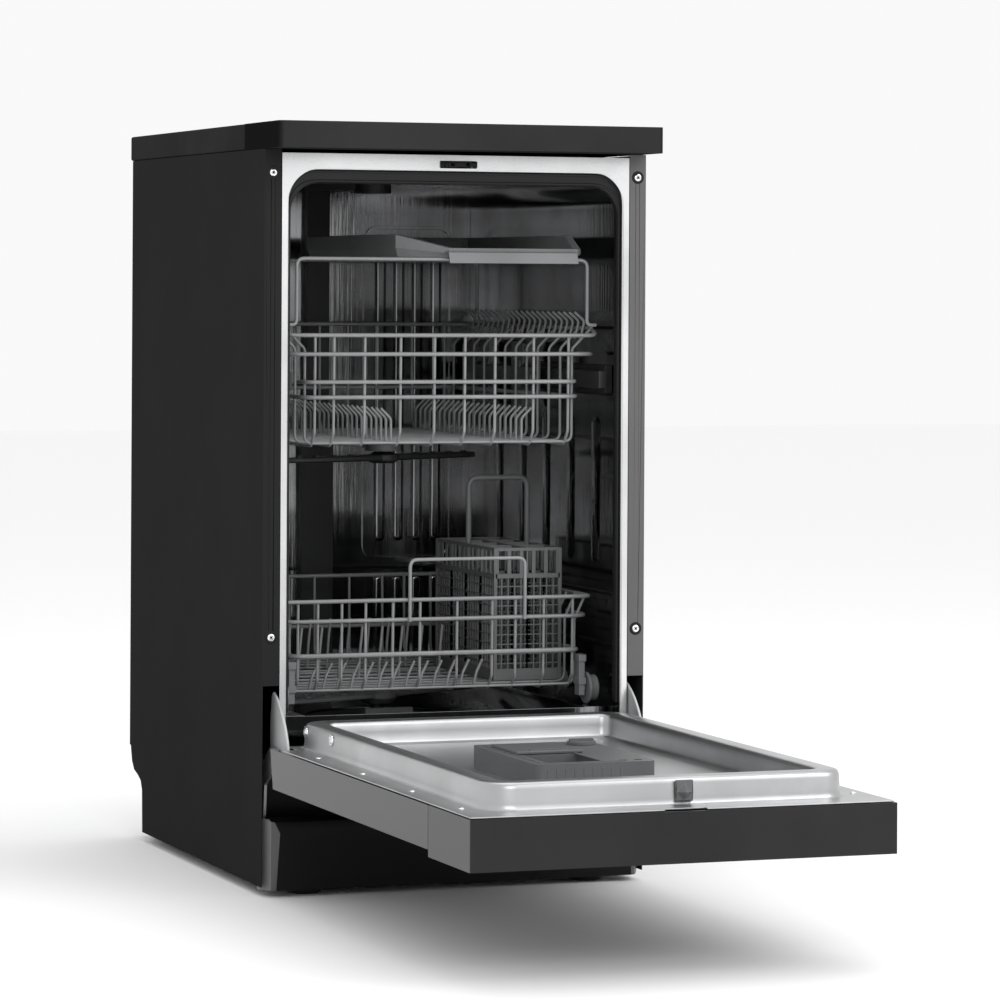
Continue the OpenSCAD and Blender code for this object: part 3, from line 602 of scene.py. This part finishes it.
def cutlery_basket():
    low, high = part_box("cutlery_basket")
    rim_z = 369 * MM
    collar = rim_z - 32 * MM
    sole = low.z + 13 * MM
    t = 1.9 * MM
    x = spread(low.x + t / 2, high.x - t / 2, 3)
    y = spread(low.y + t / 2, high.y - t / 2, 5)

    def slab(bm, along, fixed, a, b, z, half):
        """A piece of a wall from a to b, half as thick as half says on either side of the wall's middle."""
        if along == "x":
            cuboid(bm, (a, fixed - half, z[0]), (b, fixed + half, z[1]))
        else:
            cuboid(bm, (fixed - half, a, z[0]), (fixed + half, b, z[1]))

    def wall(bm, along, fixed, a, b, outer):
        """A solid foot, a lattice, a collar, and a comb with a rim above it.
        The inner walls have a thinner collar."""
        slab(bm, along, fixed, a, b, (low.z, sole), 1 * MM)
        slab(bm, along, fixed, a, b, (rim_z - 3.5 * MM, rim_z), 1.2 * MM)
        slab(bm, along, fixed, a, b, (collar - 2.5 * MM, collar + 2.5 * MM), (2 if outer else 1) * MM)
        for at in spread(a, b, max(3, round((b - a) / (8.2 * MM)) + 1)):
            slab(bm, along, fixed, at - 0.8 * MM, at + 0.8 * MM, (sole - 1 * MM, collar), 0.8 * MM)
        for at in spread(a + 2 * MM, b - 2 * MM, max(2, round((b - a) / (15 * MM)) + 1)):
            slab(bm, along, fixed, at - 2.2 * MM, at + 2.2 * MM, (collar, rim_z - 1 * MM), 1 * MM)
        for z in spread(sole + 6 * MM, collar - 12 * MM, 9):
            slab(bm, along, fixed, a, b, (z - 0.7 * MM, z + 0.7 * MM), 0.7 * MM)

    def build(bm):
        for at in x:
            wall(bm, "y", at, y[0], y[-1], at != x[1])
        for at in y:
            wall(bm, "x", at, x[0], x[-1], at in (y[0], y[-1]))
        for cx in (x[0], x[-1]):
            for cy in (y[0], y[-1]):
                cuboid(bm, (cx - 2 * MM, cy - 2 * MM, low.z), (cx + 2 * MM, cy + 2 * MM, rim_z - 0.5 * MM))
        for at in spread(low.y + 6 * MM, high.y - 6 * MM, 21):
            cuboid(bm, (low.x + 1 * MM, at - 1.1 * MM, low.z + 0.5 * MM),
                   (high.x - 1 * MM, at + 1.1 * MM, low.z + 2.5 * MM))

    mesh_piece("cutlery_basket_lattice", build, "lower_rack", "basket_plastic", ("cutlery_basket",))
    mid = (low.y + high.y) / 2
    inset = 4 * MM
    bail = fillet([(low.x + inset, mid, collar), (low.x + inset, mid, high.z - 3.4 * MM),
                   (high.x - inset, mid, high.z - 3.4 * MM), (high.x - inset, mid, collar)], 12 * MM)
    wires("cutlery_basket_bail", [(bail, False)], 3.2 * MM, "lower_rack", "basket_plastic")


def cutlery_tray():
    low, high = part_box("cutlery_tray")
    front = low.y + 14 * MM
    base = high.z - 25.6 * MM
    top = high.z
    cut = 50 * MM

    def outline(inset, y0):
        a, b = low.x + inset, high.x - inset
        c, d = y0 + inset, high.y - inset
        return [(a, c + cut * 0.8), (a + cut, c), (b - 6 * MM, c), (b, c + 6 * MM), (b, c + 34 * MM),
                (b, d - 6 * MM),
                (b - 6 * MM, d), (a + 6 * MM, d), (a, d - 6 * MM)]

    def wall(corner, z):
        """The wall is low between the corners of the front."""
        return base + (z - base) * (0.4 if corner in (1, 2, 3) and z > base else 1)

    def build(bm):
        levels = ((0.5, base + 9 * MM), (0, base + 10 * MM), (0, top - 1 * MM), (0.8, top), (6, top),
                  (7, top - 1.5 * MM), (9, base + 8 * MM), (9.5, base + 1.5 * MM), (8, base), (4, base),
                  (0.5, base + 9 * MM))
        rings = [[(*point, wall(k, z)) for k, point in enumerate(outline(inset * MM, front))]
                 for inset, z in levels]
        loft(bm, rings, (False, False))
        a, b = low.x + 9 * MM, high.x - 9 * MM
        for i, at in enumerate(spread(front + 12 * MM, high.y - 12 * MM, 30)):
            start = a + max(0, cut - (at - front)) * 1.1
            cuboid(bm, (start, at - 1.3 * MM, base), (b, at + 1.3 * MM, base + 2.4 * MM))
            if i % 2:
                cuboid(bm, (start + 12 * MM, at - 0.9 * MM, base + 2 * MM),
                       (b - 12 * MM, at + 0.9 * MM, base + 10 * MM))
        for at in spread(low.x + 54 * MM, high.x - 24 * MM, 5):
            cuboid(bm, (at - 1.3 * MM, front + 9 * MM, base), (at + 1.3 * MM, high.y - 9 * MM, base + 4 * MM))
        x0, x1 = low.x + 46 * MM, high.x - 10 * MM
        ledge = base + 6 * MM
        lip = [(front + 3 * MM, ledge), (low.y + 5.6 * MM, ledge), (low.y + 4.2 * MM, ledge - 0.8 * MM),
               (low.y, low.z + 1 * MM), (low.y + 0.7 * MM, low.z), (low.y + 1.7 * MM, low.z),
               (low.y + 2.3 * MM, low.z + 1 * MM), (low.y + 5.8 * MM, ledge - 2.4 * MM),
               (low.y + 7 * MM, ledge - 2 * MM), (front + 3 * MM, ledge - 2 * MM)]
        loft(bm, [[(px, py, pz) for py, pz in lip] for px in (x0, x0 + 0.8 * MM, x1 - 0.8 * MM, x1)])

    mesh_piece("cutlery_tray_moulded", build, "cutlery_tray", "tray_plastic", ("cutlery_tray",),
               edge=0.35 * MM)


def roller_tabs():
    """Riveted tabs in front of each pair of rollers."""
    pairs = [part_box(name) for name in ("rollers_front_top", "rollers_rear_top")]
    rows = ((581, 600), (529, 548))

    def tabs(bm):
        for side in (-1, 1):
            for at_low, at_high in pairs:
                y = (at_low.y + at_high.y) / 2 - 20 * MM
                x = sorted((side * 170.4 * MM, side * 173.2 * MM))
                for z in rows:
                    cuboid(bm, (x[0], y - 7 * MM, z[0] * MM), (x[1], y + 9 * MM, z[1] * MM))

    def rivets(bm):
        for side in (-1, 1):
            for at_low, at_high in pairs:
                y = (at_low.y + at_high.y) / 2 - 21 * MM
                for z in rows:
                    for h in (z[0] + 5, z[1] - 5):
                        head = [(172.8, 3), (174, 2.9), (175.4, 2), (175.9, 0.6)]
                        lathe(bm, [(a * MM, r * MM) for a, r in head], (0, y, h * MM), "X", side, 20)

    mesh_piece("roller_tabs", tabs, "upper_rack", "grey_plastic", edge=0.8 * MM)
    mesh_piece("roller_rivets", rivets, "upper_rack", "grey_plastic", material="rail_steel")


# ---------------------------------------------------------------- door
LINER_X = 190 * MM


def hinge_arms():
    """Blades that rise from the door into the cabinet's sides, broad at the foot and curved in front."""
    low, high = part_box("hinge_arms")
    # Places are (mm behind the cabinet's front edge, mm above the floor)
    front_foot, front_tip = (-47, 164), (8, 223)
    back_tip, back_foot = (12, 220), (18, 168)
    front_bulge, back_bulge = 8.5, 2
    blade = [(-110, 140), (-110, 160), *bow(front_foot, front_tip, front_bulge),
             *bow(back_tip, back_foot, back_bulge), (14, 151), (-20, 143)]

    def build(bm):
        for side in (-1, 1):
            xs = (high.x, high.x - 3 * MM) if side > 0 else (low.x, low.x + 3 * MM)
            loft(bm, [[(x, depth_at(y), z * MM) for y, z in blade] for x in xs])

    mesh_piece("hinge_arm_blades", build, "door", SLOT_OF["hinge_arms"], ("hinge_arms",), edge=0.9 * MM)


def door_liner():
    low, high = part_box("door_liner")
    floor = low.z + 1.4 * MM
    top = high.z
    y = (depth_at(-628), depth_at(-20))
    levels = ((-3, 0), (-0.9, 0.5), (0, 2), (0.5, 6), (1.2, 20), (1.9, 23.2), (3.2, 25.2), (5.5, 26.3),
              (9, 26.5),
              (19, 26.5), (22, 26.0), (24, 24.3), (25.0, 21.5), (25.8, 14), (26.6, 5), (27.8, 2.4), (30, 1.1),
              (34, 0.7), (44, 0.7), (46.5, 1.6), (49, 2.0))

    def build(bm):
        rings = []
        for inset, rise in levels:
            d = inset * MM
            ring = round_rect((-LINER_X + d, LINER_X - d), (y[0] + d, y[1] - d),
                              max(31 * MM - d * 0.75, 7 * MM), 10)
            rings.append([(px, py, floor + min(rise * MM, top - floor)) for px, py in ring])
        loft(bm, rings, (False, True))

    pan = mesh_piece("door_liner_pan", build, "door", "liner_steel", ("door_liner",))
    thicken = pan.modifiers.new("sheet", "SOLIDIFY")
    thicken.thickness = 0.8 * MM
    thicken.offset = -1

    def flange(bm):
        notch, step = 203 * MM, depth_at(-66)
        back = high.y
        slot = 22 * MM
        mouth = depth_at(-657.5)
        edge = depth_at(-30)
        points = [(-high.x, low.y), (-slot, low.y), (-slot, mouth), (slot, mouth), (slot, low.y),
                  (high.x, low.y),
                  (high.x, step), (notch, step), (notch, edge), (LINER_X, edge),
                  (LINER_X - 20 * MM, back - 1 * MM),
                  (-LINER_X + 20 * MM, back - 1 * MM), (-LINER_X, edge), (-notch, edge), (-notch, step),
                  (-high.x, step)]
        loft(bm, [[(px, py, z) for px, py in points] for z in (low.z, floor)])

    mesh_piece("door_liner_flange", flange, "door", "liner_steel", edge=0.35 * MM)

    def screws(bm):
        for side in (-1, 1):
            for depth in (-600, -455, -300, -150):
                at = (side * 206 * MM, depth_at(depth), floor)
                lathe(bm, [(-0.2 * MM, 3.2 * MM), (0.3 * MM, 3.2 * MM), (1.1 * MM, 2.5 * MM),
                           (1.4 * MM, 1.4 * MM),
                           (0.9 * MM, 1.1 * MM), (0.8 * MM, 0)], at, "Z", 1, 20)
            for depth in (-141, -52):
                at = (side * (LINER_X - 0.3 * MM), depth_at(depth), 184.5 * MM)
                lathe(bm, [(-0.4 * MM, 6.6 * MM), (0.5 * MM, 6.4 * MM), (0.7 * MM, 5.4 * MM),
                           (0.2 * MM, 4.2 * MM),
                           (0.5 * MM, 3.6 * MM), (1.2 * MM, 2.6 * MM), (1.3 * MM, 1.3 * MM),
                           (0.4 * MM, 0.9 * MM),
                           (0.4 * MM, 0)], at, "X", side, 28)

    mesh_piece("door_liner_screws", screws, "door", "screw_steel")


def dispenser():
    low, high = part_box("dispenser_body")

    def build(bm):
        for at in spread(low.x + 12 * MM, high.x - 40 * MM, 9):
            cuboid(bm, (at, low.y - 0.4 * MM, low.z + 4 * MM), (at + 3 * MM, low.y + 2 * MM, high.z - 5 * MM))
        ring = [(low.x + 11 * MM, low.y + 9 * MM), (high.x - 33 * MM, low.y + 9 * MM)]
        cuboid(bm, (ring[0][0], low.y + 4 * MM, high.z - 0.3 * MM),
               (ring[1][0], low.y + 7 * MM, high.z + 0.8 * MM))
        for side in (low.x + 8 * MM, high.x - 57 * MM):
            cuboid(bm, (side, low.y + 10 * MM, high.z - 0.3 * MM),
                   (side + 3 * MM, high.y - 12 * MM, high.z + 0.8 * MM))

    mesh_piece("dispenser_ribs", build, "door", "grey_plastic", edge=0.3 * MM)


def control_panel_details():
    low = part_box("control_panel")[0]
    y = low.y + 34 * MM
    z = low.z

    def window(bm):
        ring = round_rect((-44 * MM, 44 * MM), (y - 10 * MM, y + 10 * MM), 4 * MM, 5)
        loft(bm, [[(px, py, pz) for px, py in ring] for pz in (z - 0.5 * MM, z + 0.6 * MM)])

    mesh_piece("display_window", window, "door", "panel_gloss", material="glass_black", edge=0.25 * MM)

    def bezels(bm):
        for x in (-190, 150, 190):
            ring = [(0.7, 7.6), (-0.5, 7.6), (-0.8, 7.9), (-0.8, 9.2), (-0.4, 9.6), (0.7, 9.6)]
            rings = [[(x * MM + r * MM * math.cos(a), y + r * MM * math.sin(a), z + d * MM)
                      for a in spread(0, 2 * math.pi * 35 / 36, 36)] for d, r in ring]
            loft(bm, rings, (False, False))

    mesh_piece("button_bezels", bezels, "door", "button_metal")


# ---------------------------------------------------------------- tub and cabinet
def mouth_path(x, z_low, z_top, y, r):
    """An upside-down U round the tub's mouth."""
    return fillet([(-x, y, z_low), (-x, y, z_top), (x, y, z_top), (x, y, z_low)], r, steps=12)


def door_seal():
    """Two lips along the front of the seal."""
    low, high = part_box("door_seal")
    paths = [(mouth_path(high.x - inset * MM, low.z, high.z - (inset + drop) * MM, low.y + 0.6 * MM,
                         34 * MM), False)
             for inset, drop in ((3.2, 1.5), (6.6, 8.5))]
    wires("door_seal_lips", paths, 1.7 * MM, "cabinet", "seal_rubber")


def tub_details():
    low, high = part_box("tub_frame")
    bead = mouth_path(197.2 * MM, low.z + 2 * MM, 795.2 * MM, high.y + 1.2 * MM, 38 * MM)
    wires("tub_mouth_bead", [(bead, False)], 1.5 * MM, "cabinet", "frame_steel")
    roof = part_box("tub_rear_wall")[1].z - 1 * MM

    def ribs(bm):
        for at in (150, 250, 350, 450):
            y = depth_at(at)
            ring = round_rect((-150 * MM, 150 * MM), (y - 9 * MM, y + 9 * MM), 8 * MM, 5)
            small = round_rect((-147 * MM, 147 * MM), (y - 6 * MM, y + 6 * MM), 5 * MM, 5)
            loft(bm, [[(px, py, roof + 0.4 * MM) for px, py in ring],
                      [(px, py, roof - 2.2 * MM) for px, py in small]])

    mesh_piece("tub_roof_ribs", ribs, "cabinet", "tub_steel")

    def flutes(bm):
        for side in (-1, 1):
            for at in (90, 170, 250, 330, 410):
                y = depth_at(at)
                ring = round_rect((y - 13 * MM, y + 13 * MM), (350 * MM, 520 * MM), 11 * MM, 5)
                small = round_rect((y - 10 * MM, y + 10 * MM), (353 * MM, 517 * MM), 8 * MM, 5)
                loft(bm, [[(side * 201.2 * MM, py, pz) for py, pz in ring],
                          [(side * 199.4 * MM, py, pz) for py, pz in small]])

    mesh_piece("tub_wall_flutes", flutes, "cabinet", "tub_steel")

    def rear_flutes(bm):
        rear = depth_at(TUB_BACK)
        for x in (-156, -132, -108, -84, 84, 108, 132, 156):
            for z in ((205, 312), (352, 718)):
                ring = round_rect(((x - 8) * MM, (x + 8) * MM), (z[0] * MM, z[1] * MM), 7.5 * MM, 5)
                small = round_rect(((x - 4) * MM, (x + 4) * MM), ((z[0] + 4) * MM, (z[1] - 4) * MM),
                                   3.8 * MM, 5)
                loft(bm, [[(px, rear + 0.4 * MM, pz) for px, pz in ring],
                          [(px, rear - 2.6 * MM, pz) for px, pz in small]])

    mesh_piece("tub_rear_flutes", rear_flutes, "cabinet", "tub_steel", edge=0.8 * MM)


def spray_arm(node, half, width, hub_r, body_slot):
    """A tapered blade with a raised hub and nozzles, along the CAD arm's line."""
    low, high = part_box(node)
    cx, cy = (low.x + high.x) / 2, (low.y + high.y) / 2
    angle = math.radians(24)
    middle, thick = (low.z + high.z) / 2, 4 * MM

    def build(bm):
        rings = []
        for along in spread(-1, 1, 29):
            s = half * along * 0.995
            w = width * (0.66 + 0.34 * (1 - abs(along))) * math.sqrt(max(0.02, 1 - abs(along) ** 10))
            h = thick * (0.8 + 0.2 * (1 - abs(along)))
            shift = width * 0.18 * math.sin(math.pi * along)
            ring = []
            for k in range(20):
                a = 2 * math.pi * k / 20
                u, v = math.cos(a), math.sin(a)
                local = Vector((s, shift + w * abs(u) ** 0.7 * math.copysign(1, u),
                                h * abs(v) ** 0.6 * math.copysign(1, v)))
                ring.append(Matrix.Rotation(angle, 4, "Z") @ local + Vector((cx, cy, middle)))
            rings.append(ring)
        loft(bm, rings)
        hub = [(low.z, hub_r * 0.7), (low.z + 1 * MM, hub_r * 0.8), (middle - 3 * MM, hub_r),
               (middle + 3 * MM, hub_r),
               (high.z - 2 * MM, hub_r * 0.72), (high.z - 0.4 * MM, hub_r * 0.62), (high.z, hub_r * 0.5)]
        lathe(bm, hub, (cx, cy, 0), "Z", 1, 40)
        for along in (-0.9, -0.72, -0.54, -0.36, 0.38, 0.56, 0.74, 0.9):
            aside = width * 0.25 * math.copysign(1, along)
            spot = Matrix.Rotation(angle, 4, "Z") @ Vector((half * along, aside, 0))
            lathe(bm, [(thick - 1 * MM, 4.2 * MM), (thick + 0.6 * MM, 3.8 * MM), (thick + 0.9 * MM, 2.6 * MM),
                       (thick - 0.4 * MM, 1.5 * MM)], spot + Vector((cx, cy, middle)), "Z", 1, 18)

    mesh_piece(node + "_moulded", build, BODY_OF[node], body_slot, (node,))


def panel_screws():
    """Pan heads with a cross recess, each in a dimple; the black ring round each head and the black cross on
    its face are painted shade.
    """
    low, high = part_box("panel_screws")
    r = 4.4 * MM
    spots = [(x, z) for x in (low.x + r, high.x - r) for z in (low.z + r, high.z - r)]
    front = low.y

    def heads(bm):
        for x, z in spots:
            lathe(bm, [(1.3 * MM, 4.1 * MM), (0.6 * MM, 4.0 * MM), (0.1 * MM, 3.3 * MM), (0, 2.5 * MM),
                       (0, 1.3 * MM),
                       (0.7 * MM, 0.5 * MM)], (x, front, z), "Y", 1, 32)

    def shade(bm):
        for x, z in spots:
            dimple = [(1.2, 7.2), (0.9, 6.6), (1.15, 4.6), (1.15, 4.2)]
            lathe(bm, [(a * MM, b * MM) for a, b in dimple], (x, front, z), "Y", 1, 32)
            for turn in (45, 135):
                spin = Matrix.Rotation(math.radians(turn), 4, "Y")
                for vert in cuboid(bm, (-2.1 * MM, -0.08 * MM, -0.4 * MM), (2.1 * MM, 0.4 * MM, 0.4 * MM)):
                    vert.co = spin @ vert.co + Vector((x, front, z))

    mesh_piece("panel_screw_heads", heads, "cabinet", "screw_steel", ("panel_screws",))
    # The black ring and cross are painted shade: the shadow round each head and the shade in its cross
    # recess.
    mesh_piece("panel_screw_painted_shade", shade, "cabinet", "side_panels", material="black_plastic")


def latch_cover():
    """The moulded cover over the latch, with its two lugs."""
    low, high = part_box("latch_strike")
    y, z = low.y, high.z

    def build(bm):
        cuboid(bm, (-20 * MM, y + 1.5 * MM, z - 4.6 * MM), (20 * MM, y + 5 * MM, z - 0.3 * MM))
        cuboid(bm, (-12 * MM, y, z - 6.2 * MM), (12 * MM, y + 4 * MM, z - 0.6 * MM))
        for x in (-15.6, 15.6):
            lathe(bm, [(0, 2.6 * MM), (3 * MM, 3 * MM)], (x * MM, y + 0.4 * MM, z - 3.3 * MM), "Y", 1, 24)

    mesh_piece("latch_cover", build, "cabinet", "black_plastic", edge=0.8 * MM)


def levelling_feet():
    low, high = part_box("levelling_feet")
    r = 18.5 * MM

    def build(bm):
        for x in (low.x + r, high.x - r):
            for y in (low.y + r, high.y - r):
                profile = [(0, r - 1.5 * MM), (1.2 * MM, r), (5 * MM, r), (7.6 * MM, r - 3 * MM),
                           (8 * MM, 10 * MM),
                           (8.4 * MM, 7.5 * MM)]
                for i in range(15):
                    profile += [((9 + 3 * i) * MM, 5.0 * MM), ((10.5 + 3 * i) * MM, 5.8 * MM)]
                lathe(bm, profile + [(55 * MM, 4.8 * MM)], (x, y, 0), "Z", 1, 32)

    mesh_piece("levelling_feet_moulded", build, "cabinet", "black_plastic", ("levelling_feet",))


def rear_details():
    low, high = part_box("rear_panel")

    def build(bm):
        for x in (-140, -47, 47, 140):
            ring = round_rect(((x - 26) * MM, (x + 26) * MM), (170 * MM, 600 * MM), 20 * MM, 6)
            small = round_rect(((x - 20) * MM, (x + 20) * MM), (176 * MM, 594 * MM), 14 * MM, 6)
            loft(bm, [[(px, high.y - 0.4 * MM, pz) for px, pz in ring],
                      [(px, high.y + 1.8 * MM, pz) for px, pz in small]])
        for x in spread(low.x + 6 * MM, high.x - 6 * MM, 5):
            for z in (low.z + 8 * MM, high.z - 8 * MM):
                head = [(-0.2, 4), (0.9, 3.8), (1.6, 2.2), (1.2, 1.2)]
                lathe(bm, [(a * MM, b * MM) for a, b in head], (x, high.y, z), "Y", 1, 20)

    mesh_piece("rear_panel_beads", build, "cabinet", "galvanised")


# Radii in mm of the softened edges of the CAD nodes that show
EDGE_WIDTHS = {
    "side_panel_left": 0.5, "side_panel_right": 0.5, "rear_panel": 0.4, "worktop_board": 2.5,
    "worktop_trim": 3.0,
    "base_tray": 0.8, "kick_plate": 2.5, "panel_screws": 0.4, "hinge_brackets": 0.7, "tub_wrapper": 0.4,
    "tub_rear_wall": 0.5, "tub_floor": 0.5, "tub_frame": 0.35, "door_seal": 2.6, "latch_strike": 0.7,
    "sump": 1.0, "filter_cup": 0.8, "feed_pipe": 3.0, "rail_guides": 0.8, "circulation_pump": 1.2,
    "drain_pump": 1.0, "water_softener": 2.0, "inlet_valve": 0.8, "cable_gland": 0.8, "upper_feed_duct": 2.0,
    "roller_plates": 1.0, "rack_rails": 1.0,
    "door_panel": 0.7, "control_panel": 1.4, "door_bottom_strip": 1.2, "hinge_arms": 0.8, "latch_nose": 1.6,
    "dispenser_body": 1.2, "dispenser_lid": 0.9, "rinse_aid_cap": 0.8, "power_button": 0.8,
    "program_button": 0.8,
    "start_button": 0.8,
}


def dress_cad_nodes():
    """Every CAD node that still shows gets its material and softer edges."""
    for name, node in frame["nodes"].items():
        node.data.materials.clear()
        # The right side panel gets the lighter return material, a painted reflection on its front return.
        node.data.materials.append(MATERIALS["right_return_painted_reflection" if name == "side_panel_right" else SLOT_OF[name]])
        if name in EDGE_WIDTHS:
            soft_edges(node, EDGE_WIDTHS[name] * MM)


add_camera()
add_studio()
dress_cad_nodes()
upper_rack()
tray_carrier()
lower_rack()
for wheels in ("wheels_1", "wheels_2", "wheels_3", "wheels_4"):
    spoked_wheels(wheels, (178, 181.4), 190.6, (18, 14.5), 10)
for rollers in ("rollers_front_top", "rollers_front_low", "rollers_rear_top", "rollers_rear_low"):
    spoked_wheels(rollers, (175.2, 178.6), 191, (16, 14.6), 12)
cutlery_basket()
cutlery_tray()
roller_tabs()
hinge_arms()
door_liner()
dispenser()
control_panel_details()
door_seal()
tub_details()
spray_arm("lower_spray_arm", 154 * MM, 17 * MM, 24 * MM, "grey_plastic")
spray_arm("upper_spray_arm", 148 * MM, 14 * MM, 19 * MM, "dark_plastic")
panel_screws()
latch_cover()
levelling_feet()
rear_details()
